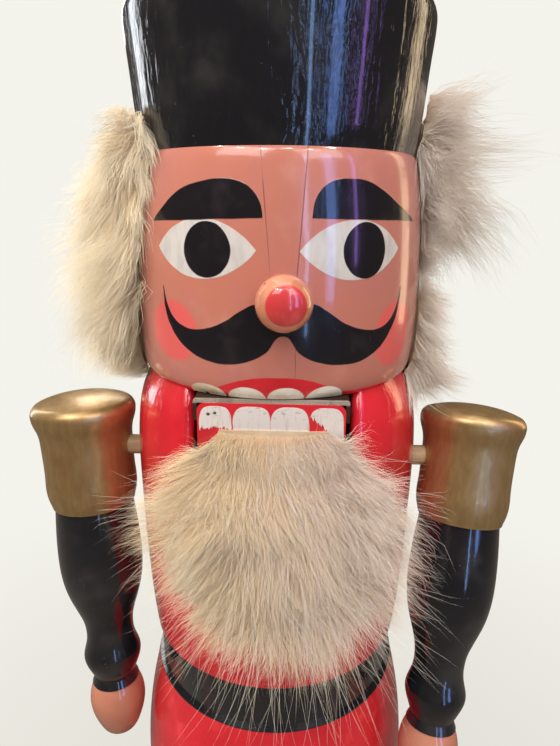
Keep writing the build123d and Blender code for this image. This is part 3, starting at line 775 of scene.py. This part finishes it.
def strandMesh(name, paths, widths, tint, material, outward):
    # paths: strands x rings x 3; each strand is a closed three-sided spike
    count, rings = paths.shape[:2]
    body = rings - 1
    tangent = unit(np.gradient(paths, axis=1))
    sideways = unit(np.cross(tangent, np.array([0.31, 0.17, 0.93])))
    other = np.cross(tangent, sideways)
    along = np.linspace(0, 1, rings)
    taper = (1 - along[:body] ** 1.6) * 0.8 + 0.2
    angles = np.arange(3) * 2 * math.pi / 3
    ring = (sideways[:, :body, None] * np.cos(angles)[None, None, :, None]
            + other[:, :body, None] * np.sin(angles)[None, None, :, None])
    shell = paths[:, :body, None] + ring * (widths[:, None] * taper)[:, :, None, None]
    points = np.concatenate([shell.reshape(count, body * 3, 3), paths[:, -1:]], axis=1)
    faces, faceMap = [], []
    for k in range(body - 1):
        for a in range(3):
            b = (a + 1) % 3
            faces.append((k * 3 + a, k * 3 + b, k * 3 + 3 + b, k * 3 + 3 + a))
            faceMap.append([(a / 3, k), ((a + 1) / 3, k), ((a + 1) / 3, k + 1), (a / 3, k + 1)])
    for a in range(3):
        faces.append(((body - 1) * 3 + a, (body - 1) * 3 + (a + 1) % 3, body * 3))
        faceMap.append([(a / 3, body - 1), ((a + 1) / 3, body - 1), ((a + 0.5) / 3, body)])
    faces.append((2, 1, 0))
    faceMap.append([(0.66, 0), (0.33, 0), (0.0, 0.2)])
    corner = np.array([i for f in faces for i in f])
    sizes = np.array([len(f) for f in faces])
    starts = np.concatenate([[0], np.cumsum(sizes)[:-1]])
    perPoint, perLoop = body * 3 + 1, len(corner)
    mesh = bpy.data.meshes.new(name)
    mesh.vertices.add(count * perPoint)
    mesh.vertices.foreach_set("co", points.astype(np.float32).ravel())
    mesh.loops.add(count * perLoop)
    loops = corner[None] + np.arange(count)[:, None] * perPoint
    mesh.loops.foreach_set("vertex_index", loops.astype(np.int32).ravel())
    mesh.polygons.add(count * len(faces))
    first = starts[None] + np.arange(count)[:, None] * perLoop
    mesh.polygons.foreach_set("loop_start", first.astype(np.int32).ravel())
    mesh.update(calc_edges=True)
    mesh.polygons.foreach_set("use_smooth", np.ones(count * len(faces), bool))
    layer = mesh.uv_layers.new(name="OFBake")
    flat = np.array([c for f in faceMap for c in f], float)
    column = np.clip((tint * tints).astype(int), 0, tints - 1)
    u = (column[:, None] + 0.15 + 0.7 * flat[None, :, 0]) / tints
    v = np.broadcast_to(0.02 + 0.96 * flat[None, :, 1] / body, u.shape)
    layer.data.foreach_set("uv", np.stack([u, v], -1).astype(np.float32).ravel())
    # soft light: each strand is shaded partly as the pelt under it
    round_ = np.concatenate([ring, np.broadcast_to(tangent[:, -1:, None], (count, 1, 3, 3))], axis=1)
    facing = unit(round_.reshape(count, rings * 3, 3)[:, :perPoint] * furValues["ownShading"] + outward[:, None])
    mesh.normals_split_custom_set_from_vertices(facing.reshape(-1, 3))
    mesh.materials.append(material)
    piece = bpy.data.objects.new(name, mesh)
    bpy.context.scene.collection.objects.link(piece)
    return piece


def gathered(rng, paths, clumps, pull, uneven=0.0, bend=0.0, wave=0.0):
    # strands lean towards the nearest of a few locks as they run out
    # locks differ in length and direction, and wave
    heads = rng.choice(len(paths), clumps, replace=False)
    roots = paths[:, 0]
    nearest = np.empty(len(paths), int)
    for start in range(0, len(paths), 4000):
        span = ((roots[start:start + 4000, None] - roots[heads][None]) ** 2).sum(-1)
        nearest[start:start + 4000] = span.argmin(1)
    along = np.linspace(0, 1, paths.shape[1])
    share = pull * rng.uniform(0.3, 1.0, len(paths))[:, None] * (along ** 1.4)[None]
    paths = paths + (paths[heads[nearest]] - paths) * share[..., None]
    span = np.linalg.norm(paths[:, -1] - paths[:, 0], axis=1)[:, None, None]
    turned = (rng.normal(size=(clumps, 3)) * bend)[nearest][:, None]
    paths = paths + turned * span * (along ** 1.5)[None, :, None]
    phase = rng.uniform(0, 6.28, clumps)[nearest][:, None]
    sway = (np.sin(along[None] * 5.2 + phase) - np.sin(phase))[..., None] * along[None, :, None] ** 0.5
    paths = paths + (rng.normal(size=(clumps, 3)) * wave)[nearest][:, None] * span * sway
    reach = rng.uniform(1 - uneven, 1 + uneven * 0.6, clumps)[nearest][:, None, None]
    return paths[:, :1] + (paths - paths[:, :1]) * reach


def cleared(paths, profile, gap):
    # pushes each point out of the turned piece under it
    heights, radii = profile
    limit = np.interp(paths[..., 2], heights, radii) + gap
    span = np.hypot(paths[..., 0], paths[..., 1])
    beside = (paths[..., 2] < heights[-1]) & (paths[..., 2] > heights[0]) & (span < limit)
    grow = np.where(beside, limit / np.maximum(span, 1e-6), 1.0)
    return np.stack([paths[..., 0] * grow, paths[..., 1] * grow, paths[..., 2]], -1)


def easedOff(value, start, room):
    # what passes start slows down, and never passes start + room
    return np.where(value > start * mm, (start + room * np.tanh((value / mm - start) / room)) * mm, value)


def grown(rng, roots, first, last, lengths, rings, curl):
    # a strand starts along first and bends round to last
    along = np.linspace(0, 1, rings)
    turn = first[:, None] * along[None, :, None] + (last - first)[:, None] * (along ** 2 / 2)[None, :, None]
    paths = roots[:, None] + turn * lengths[:, None, None]
    sway = unit(rng.normal(size=(len(roots), 3)))
    wave = np.sin(along * math.pi)[None, :, None] * sway[:, None]
    return paths + wave * (lengths * curl)[:, None, None]


coat = profileOf("body")
beardValues = {
    "top": -12.6, "bottom": -76.0, "shift": 0.8, "flatHalf": 20.5,
    "halfWidth": ([-80, -64, -46, -32, -21, -12.6], [24, 33, 36, 30, 21.5, 17.8]),
    "reach": ([-80, -34, -22, -12.6], [55.6, 55.6, 51.6, 48.8]),
    "armRoom": 55.0,        # further out than this it is pressed in, short of the raised arms
    "front": 65.0, "frontRoom": 13.0,        # how far forward its hairs stand
    "locks": 85,
}
# seed, strands, rings, lengths, width, lift, curl, small locks and their pull, spread, stray
beardLayers = {
    "beard_fur_a": (11, 9000, 5, (12, 22), 0.058, 0.85, 0.10, 1300, 0.5, 1.0, 0.15),
    "beard_fur_b": (12, 9000, 5, (14, 25), 0.058, 0.7, 0.10, 1300, 0.45, 1.0, 0.15),
    "beard_fur_c": (13, 9000, 5, (16, 28), 0.058, 0.55, 0.10, 1300, 0.4, 1.0, 0.15),
    "beard_fur_d": (14, 9000, 5, (18, 31), 0.058, 0.4, 0.10, 1300, 0.3, 1.0, 0.15),
    "beard_stray_hair": (29, 2600, 6, (16, 30), 0.036, 0.9, 0.10, 0, 0, 1.0, 0.36),
    "beard_guard_hair": (31, 1300, 7, (28, 54), 0.045, 0.42, 0.035, 0, 0, 0.8, 0.14),
}


def beardFront(x, up):
    # how far forward the beard's skin lies: flat against the jaw on top, round the chest below
    radius = np.interp(up, *beardValues["reach"])
    chest = np.interp(chin + up * mm, *coat) * 1000
    radius = np.where(np.abs(x) > beardValues["flatHalf"], np.maximum(radius, chest + 0.9), radius)
    y = -np.sqrt(np.maximum(radius ** 2 - x ** 2, 1.0))
    flat = np.clip((up - beardValues["top"] + 10) / 10, 0, 1)
    return y * (1 - flat) + np.minimum(y, -radius) * flat


def beardRoots(rng, count):
    up = beardValues["bottom"] + (beardValues["top"] - beardValues["bottom"]) * rng.uniform(0, 1, count) ** 0.8
    share = rng.uniform(-1, 1, count)
    x = beardValues["shift"] + share * np.interp(up, *beardValues["halfWidth"]) * np.where(share < 0, 0.93, 1.0)
    return np.stack([x * mm, beardFront(x, up) * mm, chin + up * mm], -1), share, up


def overSkin(rng, paths):
    # a strand that runs down the bulging skin stays on top of it
    x, up = paths[..., 0] / mm, (paths[..., 2] - chin) / mm
    rise = 0.5 + (0.4 + 2.2 * rng.uniform(0, 1, len(paths))[:, None]) * np.linspace(0, 1, paths.shape[1]) ** 0.7
    over = (beardFront(x, up) - rise) * mm
    held = (np.abs(x) < 24) & (up > beardValues["bottom"])
    y = np.where(held, np.minimum(paths[..., 1], over), paths[..., 1])
    return np.stack([paths[..., 0], y, paths[..., 2]], -1)


def beardFlow(rng, roots, outward, share, up, corner, lift, spread, stray):
    # the directions in which each strand starts and ends: outwards, down, and sideways from the middle
    count = len(roots)
    depth = beardValues["top"] - up
    fromTop = np.clip(depth / 22, 0, 1)
    sideward = share * np.abs(share) ** 0.5 * spread * 0.9 * (0.25 + 0.75 * np.clip(depth / 10, 0, 1))
    sideward += np.sign(share) * corner * 0.7
    zero = np.zeros(count)
    lean = swirl(roots, 5, 24 * mm) * 0.36 + swirl(roots, 6, 9 * mm) * 0.30
    lean[:, 2] *= 0.5
    own = rng.normal(size=(count, 3)) * stray
    liftNow = lift * rng.uniform(0.5, 1.25, count) * (0.22 + 0.78 * fromTop)
    fall = np.clip(1.0 - 0.62 * np.abs(share) ** 1.4 * np.clip((up + 86) / 50, 0, 1), 0.2, 1)
    start = np.stack([sideward * 1.15, zero, -0.85 * fall], -1)
    first = unit(outward * liftNow[:, None] + start + (lean + own) * (0.7 + 0.3 * fromTop[:, None]))
    lifted = outward * (0.12 + 0.1 * rng.uniform(0, 1, count))[:, None]
    last = unit(lifted + np.stack([sideward * 0.9, zero, -1.0 * fall], -1) + lean * 1.3 + own * 1.6)
    return first, last


def beardLengths(rng, lengthRange, share, up, corner):
    # shorter at the top, at the sides and on the -X side, longer low down on the +X side
    fromTop = np.clip((beardValues["top"] - up) / 22, 0, 1)
    lengths = rng.uniform(*lengthRange, len(up)) * (0.75 + 0.25 * fromTop)
    lengths = lengths * (1 - 0.42 * np.abs(share) ** 1.6 * (1 - corner)) * mm
    lengths *= np.where(share < 0, 1 - 0.16 * np.abs(share), 1.0)
    return lengths * (1.0 + (0.12 + 0.40 * np.clip(share, -1, 1)) * np.clip((-up - 42) / 30, 0, 1))


def joinedToJaw(piece):
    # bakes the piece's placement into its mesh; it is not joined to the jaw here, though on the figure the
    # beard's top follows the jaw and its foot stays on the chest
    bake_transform(piece)


def beardPart(name, seed, count, rings, lengthRange, width, lift, curl, clumps, pull, spread, stray):
    rng = np.random.default_rng(seed)
    roots, share, up = beardRoots(rng, count)
    outward = unit(roots * np.array([1, 1, 0]))
    depth = beardValues["top"] - up
    corner = np.clip((np.abs(share) - 0.4) / 0.6, 0, 1) * np.clip(1.3 - depth / 32, 0, 1)        # flows sideways
    corner *= np.clip(depth / 9, 0.15, 1)
    first, last = beardFlow(rng, roots, outward, share, up, corner, lift, spread, stray)
    lengths = beardLengths(rng, lengthRange, share, up, corner)
    paths = grown(rng, roots, first, last, lengths, rings, curl)
    if clumps:
        paths = gathered(rng, paths, clumps, pull, 0.12, 0.04, 0.02)
        paths = gathered(rng, paths, beardValues["locks"], 0.34, 0.30, 0.15, 0.07)
    gap = (0.35 + 2.6 * rng.uniform(0, 1, count)[:, None] * np.linspace(0, 1, rings) ** 0.7) * mm
    paths = cleared(overSkin(rng, paths), coat, gap)
    beyond = np.maximum(np.abs(paths[..., 0]) - beardValues["armRoom"] * mm, 0)
    pressed = np.clip((paths[..., 2] - chin) / mm / 20 + 4, 0.35, 0.8)
    paths[..., 0] -= np.sign(paths[..., 0]) * beyond * pressed
    paths[..., 1] = -easedOff(-paths[..., 1], beardValues["front"], beardValues["frontRoom"])
    widths = width * rng.uniform(0.7, 1.25, count) * mm
    cool = rng.uniform(0, 1, count) < np.clip(0.45 + 0.75 * share, 0.04, 0.96)
    shade = np.clip(0.52 + 0.22 * rng.normal(size=count) + 0.16 * swirl(roots, 8, 9 * mm)[:, 0], 0, 0.999)
    material = beardFur if clumps else guardFur
    facing = unit(outward + np.array([0, -0.2, 0.35]))
    piece = strandMesh(name, paths, widths, (shade + cool) / 2, material, facing)
    joinedToJaw(piece)


def peltSheet(name, columns, rows, shape, thick, material):
    # a grid bent to the shape that the fur grows from, given a thickness outwards
    bpy.ops.object.select_all(action="DESELECT")
    bpy.ops.mesh.primitive_grid_add(x_subdivisions=columns, y_subdivisions=rows, size=2, location=(0, 0, 0))
    sheet = bpy.context.object
    sheet.name = name
    co = np.zeros(len(sheet.data.vertices) * 3)
    sheet.data.vertices.foreach_get("co", co)
    co = co.reshape(-1, 3)
    sheet.data.vertices.foreach_set("co", shape(co[:, 0], co[:, 1]).ravel())
    sheet.data.update()
    solid = sheet.modifiers.new("thickness", "SOLIDIFY")
    solid.thickness = thick * mm
    solid.offset = -1
    bpy.ops.object.modifier_apply(modifier="thickness")
    bpy.ops.object.mode_set(mode="EDIT")
    bpy.ops.mesh.select_all(action="SELECT")
    bpy.ops.mesh.normals_make_consistent(inside=False)
    bpy.ops.object.mode_set(mode="OBJECT")
    bpy.ops.object.shade_smooth_by_angle(angle=0.7)
    sheet.data.materials.append(material)
    return sheet


def peltSkin():
    material, tree, shader = newMaterial("peltSkin", 0.6, 0, 0, 0.2)
    colour = mixed(step(noise(tree, 120, 3), 0.35, 0.7), (0.60, 0.44, 0.29), (0.72, 0.55, 0.38))
    link(colour, shader.inputs["Base Color"])
    raised(shader, noise(tree, 700, 3) * 0.15)
    return material


def beardSheetShape(a, b):
    up = (beardValues["top"] + beardValues["bottom"]) / 2 + b * (beardValues["top"] - beardValues["bottom"]) / 2
    x = beardValues["shift"] + a * np.interp(up, *beardValues["halfWidth"]) * 0.96
    return np.stack([x * mm, (beardFront(x, up) + 0.2) * mm, chin + up * mm], -1)


pelt = peltSkin()
beardFur = furMaterial("beardFur", ((0.74, 0.51, 0.28), (0.93, 0.77, 0.54)),
                       ((0.77, 0.57, 0.46), (0.93, 0.78, 0.69)), (0.74, 0.48, 0.28), (0.95, 0.83, 0.65))
guardFur = furMaterial("guardFur", ((0.88, 0.75, 0.55), (0.98, 0.90, 0.75)),
                       ((0.88, 0.76, 0.67), (0.98, 0.91, 0.84)), (0.76, 0.60, 0.43), (0.98, 0.93, 0.84))
hairFur = furMaterial("hairFur", ((0.92, 0.72, 0.46), (0.98, 0.88, 0.68)),
                      ((0.84, 0.70, 0.62), (0.97, 0.86, 0.78)), (0.86, 0.64, 0.42), (0.98, 0.91, 0.77))
thin = 1        # fewer, thicker strands in a quick try
thick = 1.0


def growLayers(layers, grow):
    for name, (seed, count, rings, lengths, width, lift, curl, clumps, *rest) in layers.items():
        grow(name, seed, count // thin, rings, lengths, width * thick, lift, curl, clumps // thin, *rest)


beardPelt = peltSheet("beard_pelt", 24, 28, beardSheetShape, 0.6, pelt)
joinedToJaw(beardPelt)
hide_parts("beard")
growLayers(beardLayers, beardPart)
print("beard grown")

hairValues = {
    "low": -7.0, "high": 81.0, "radius": 51.0,
    # where the strip ends on either side, from its foot to its top, in degrees from the middle of the face
    "left": ([-7, 30, 81], [78, 70, 57]), "right": ([-7, 30, 81], [70, 79, 78]),
    # how far the pelt stands off the head, and how long its fur is there
    "leftOff": ([-7, 8, 30, 56, 70, 81], [0.4, 5, 9, 8, 3.5, 0.8]),
    "rightOff": ([-7, 34, 47, 70, 81], [0.4, 1.5, 9.5, 8, 4]),
    "backOff": 2.0, "rise": 9.0,
    "leftFur": ([-7, 5, 20, 50, 60, 70, 81], [0.5, 0.8, 1.08, 1.12, 0.9, 0.6, 0.42]),
    "rightFur": ([-7, 8, 20, 38, 46, 54, 61, 68, 74, 81],
                 [0.9, 0.76, 0.66, 0.62, 0.95, 1.15, 1.15, 1.0, 0.85, 0.7]),
    "backFur": ([-7, 6, 60, 81], [0.7, 0.92, 0.9, 0.7]),
    "behind": 66.0, "behindRoom": 16.0,        # how far back its hairs stand
    "locks": 150,
}
# seed, strands, rings, lengths, width, lift, curl, small locks and their pull, stray
hairLayers = {
    "hair_fur_a": (51, 12000, 4, (15, 26), 0.07, 1.4, 0.13, 900, 0.6, 0.18),
    "hair_fur_b": (52, 12000, 4, (20, 32), 0.07, 1.15, 0.13, 800, 0.6, 0.18),
    "hair_fur_c": (53, 12000, 4, (24, 37), 0.07, 0.9, 0.13, 1200, 0.45, 0.18),
    "hair_guard_hair": (71, 3000, 6, (20, 32), 0.04, 1.2, 0.04, 0, 0, 0.18),
}
headSide, hatSide, bodySide = profileOf("head"), profileOf("hat"), coat


def hairSpot(share, up):
    # share runs from 0 at the +X end of the strip, round the back, to 1 at the -X end
    start = np.interp(up, *hairValues["right"])
    end = 360 - np.interp(up, *hairValues["left"])
    angle = start + share * (end - start)
    atRight = np.clip(1 - (angle - start) / 60, 0, 1)
    atLeft = np.clip(1 - (end - angle) / 60, 0, 1)
    bulge = np.sin(np.clip(atLeft * 1.15, 0, 1) * math.pi) ** 0.7
    hump = np.sin(np.clip(atRight * 1.1, 0, 1) * math.pi) ** 0.8
    off = (np.interp(up, *hairValues["rightOff"]) * hump + np.interp(up, *hairValues["leftOff"]) * bulge
           + hairValues["backOff"] * (1 - atLeft - atRight).clip(0, 1))
    rise = hairValues["rise"] * np.clip(up / 81, 0, 1) * np.clip(1 - share / 0.3, 0, 1)
    under = chin + (up + rise) * mm
    under = np.maximum(np.interp(under, *headSide, right=0), np.interp(under, *hatSide, left=0)) / mm + 0.7
    close = np.clip(1 - np.minimum(share, 1 - share) / 0.05, 0, 1)        # the strip's ends are glued right down
    radius = hairValues["radius"] + off + (under - hairValues["radius"]) * close
    turned = np.radians(angle + faceTurn)
    out = np.stack([np.sin(turned), -np.cos(turned), np.zeros(turned.shape)], -1)
    onward = np.stack([np.cos(turned), np.sin(turned), np.zeros(turned.shape)], -1)
    spot = out * (radius * mm)[..., None]
    uneven = 2.2 * np.sin(turned * 5) + 1.4 * np.sin(turned * 11 + 1)        # the strip's upper and lower edge
    uneven = uneven * np.where(up > 40, 1, -0.8) * (1 - close)
    spot[..., 2] = chin + (up + rise + uneven * np.clip(np.abs(up - 37) / 40, 0, 1)) * mm
    return spot, out, onward, atLeft, atRight


def hairSheetShape(a, b):
    middle, half = (hairValues["low"] + hairValues["high"]) / 2, (hairValues["high"] - hairValues["low"]) / 2
    # the fur's roots reach a little past the skin
    return hairSpot(0.5 + a * 0.472, middle + b * (half - 1.8))[0]


def hairFlow(rng, share, up, roots, outward, onward, atLeft, atRight, lift, stray):
    # the directions in which each strand starts and ends: outwards and down, and up at the strip's top
    count = len(up)
    edgeLeft = np.clip((share - 0.92) / 0.08, 0, 1)
    edgeRight = np.clip((0.08 - share) / 0.08, 0, 1)
    edge = np.maximum(edgeLeft, edgeRight)
    forward = onward * (edgeLeft * 1.1 - edgeRight * 0.9)[:, None]
    top = np.clip((up - 52) / 29, 0, 1)
    lean = swirl(roots, 15, 20 * mm) * 0.42 + swirl(roots, 16, 8 * mm) * 0.42
    own = rng.normal(size=(count, 3)) * stray
    fall = np.array([0, 0, -1.0])
    upward = top * np.where(atLeft > 0, 0.3, np.where(atRight > 0, 0.75, 1.15))
    rise = np.array([0, 0, 1.0]) * upward[:, None]
    lying = 1 - 0.7 * edge
    lying *= np.where(atRight > 0, np.interp(up, [36, 46], [0.6, 1.0]), 1.0)
    lifted = outward * (lift * rng.uniform(0.6, 1.2, count) * lying)[:, None]
    first = unit(lifted + forward + fall * 0.45 + rise + lean + own)
    last = unit(outward * 0.42 + forward * 0.35 + fall + rise * 0.5 + lean * 1.2 + own * 1.5)
    return first, last, edge


def hairPart(name, seed, count, rings, lengthRange, width, lift, curl, clumps, pull, stray):
    rng = np.random.default_rng(seed)
    share = rng.uniform(0, 1, count)
    # nearly half of it grows near the strip's two ends
    end = rng.uniform(0, 1, count)
    ended = share ** 1.3 * 0.16
    share = np.where(end < 0.22, ended, np.where(end < 0.45, 1 - ended, share))
    up = rng.uniform(hairValues["low"], hairValues["high"], count)
    roots, outward, onward, atLeft, atRight = hairSpot(share, up)
    roots = roots + outward * 0.3 * mm
    first, last, edge = hairFlow(rng, share, up, roots, outward, onward, atLeft, atRight, lift, stray)
    fur = np.interp(up, *hairValues["leftFur"]) * (atLeft > 0)
    fur = fur + np.interp(up, *hairValues["rightFur"]) * (atRight > 0)
    fur = fur + np.interp(up, *hairValues["backFur"]) * ((atLeft <= 0) & (atRight <= 0))
    lengths = rng.uniform(*lengthRange, count) * fur * (1 - 0.3 * edge) * mm
    paths = grown(rng, roots, first, last, lengths, rings, curl)
    if clumps:
        paths = gathered(rng, paths, clumps, pull, 0.15, 0.06)
        paths = gathered(rng, paths, hairValues["locks"], 0.4, 0.28, 0.18)
    gap = (0.4 + 2.0 * rng.uniform(0, 1, count)[:, None] * np.linspace(0, 1, rings)) * mm
    overCap = roots[:, 0] < -30 * mm        # leaves room for the shoulder cap that swings back under it
    floor = (chin - np.where(overCap, rng.uniform(2, 6.5, count), rng.uniform(8, 19, count)) * mm)[:, None]
    give = np.where(overCap, 0.12, 0.3)[:, None]
    height = paths[..., 2]
    paths[..., 2] = np.where(height < floor, floor + (height - floor) * give, height)
    for side in (headSide, hatSide, bodySide):
        paths = cleared(paths, side, gap)
    paths[..., 1] = easedOff(paths[..., 1], hairValues["behind"], hairValues["behindRoom"])
    widths = width * rng.uniform(0.7, 1.25, count) * mm
    cool = rng.uniform(0, 1, count) < np.where(share < 0.5, 0.92, 0.12)
    shade = np.clip(0.55 + 0.2 * rng.normal(size=count) + 0.2 * swirl(roots, 18, 11 * mm)[:, 0], 0, 0.999)
    material = hairFur if clumps else guardFur
    facing = unit(outward + np.array([0, -0.5, 0.35]))
    piece = strandMesh(name, paths, widths, (shade + cool) / 2, material, facing)
    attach(piece, "figure")


hairPelt = peltSheet("hair_pelt", 72, 20, hairSheetShape, 0.8, pelt)
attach(hairPelt, "figure")
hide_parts("hair")
growLayers(hairLayers, hairPart)
print("hair grown")
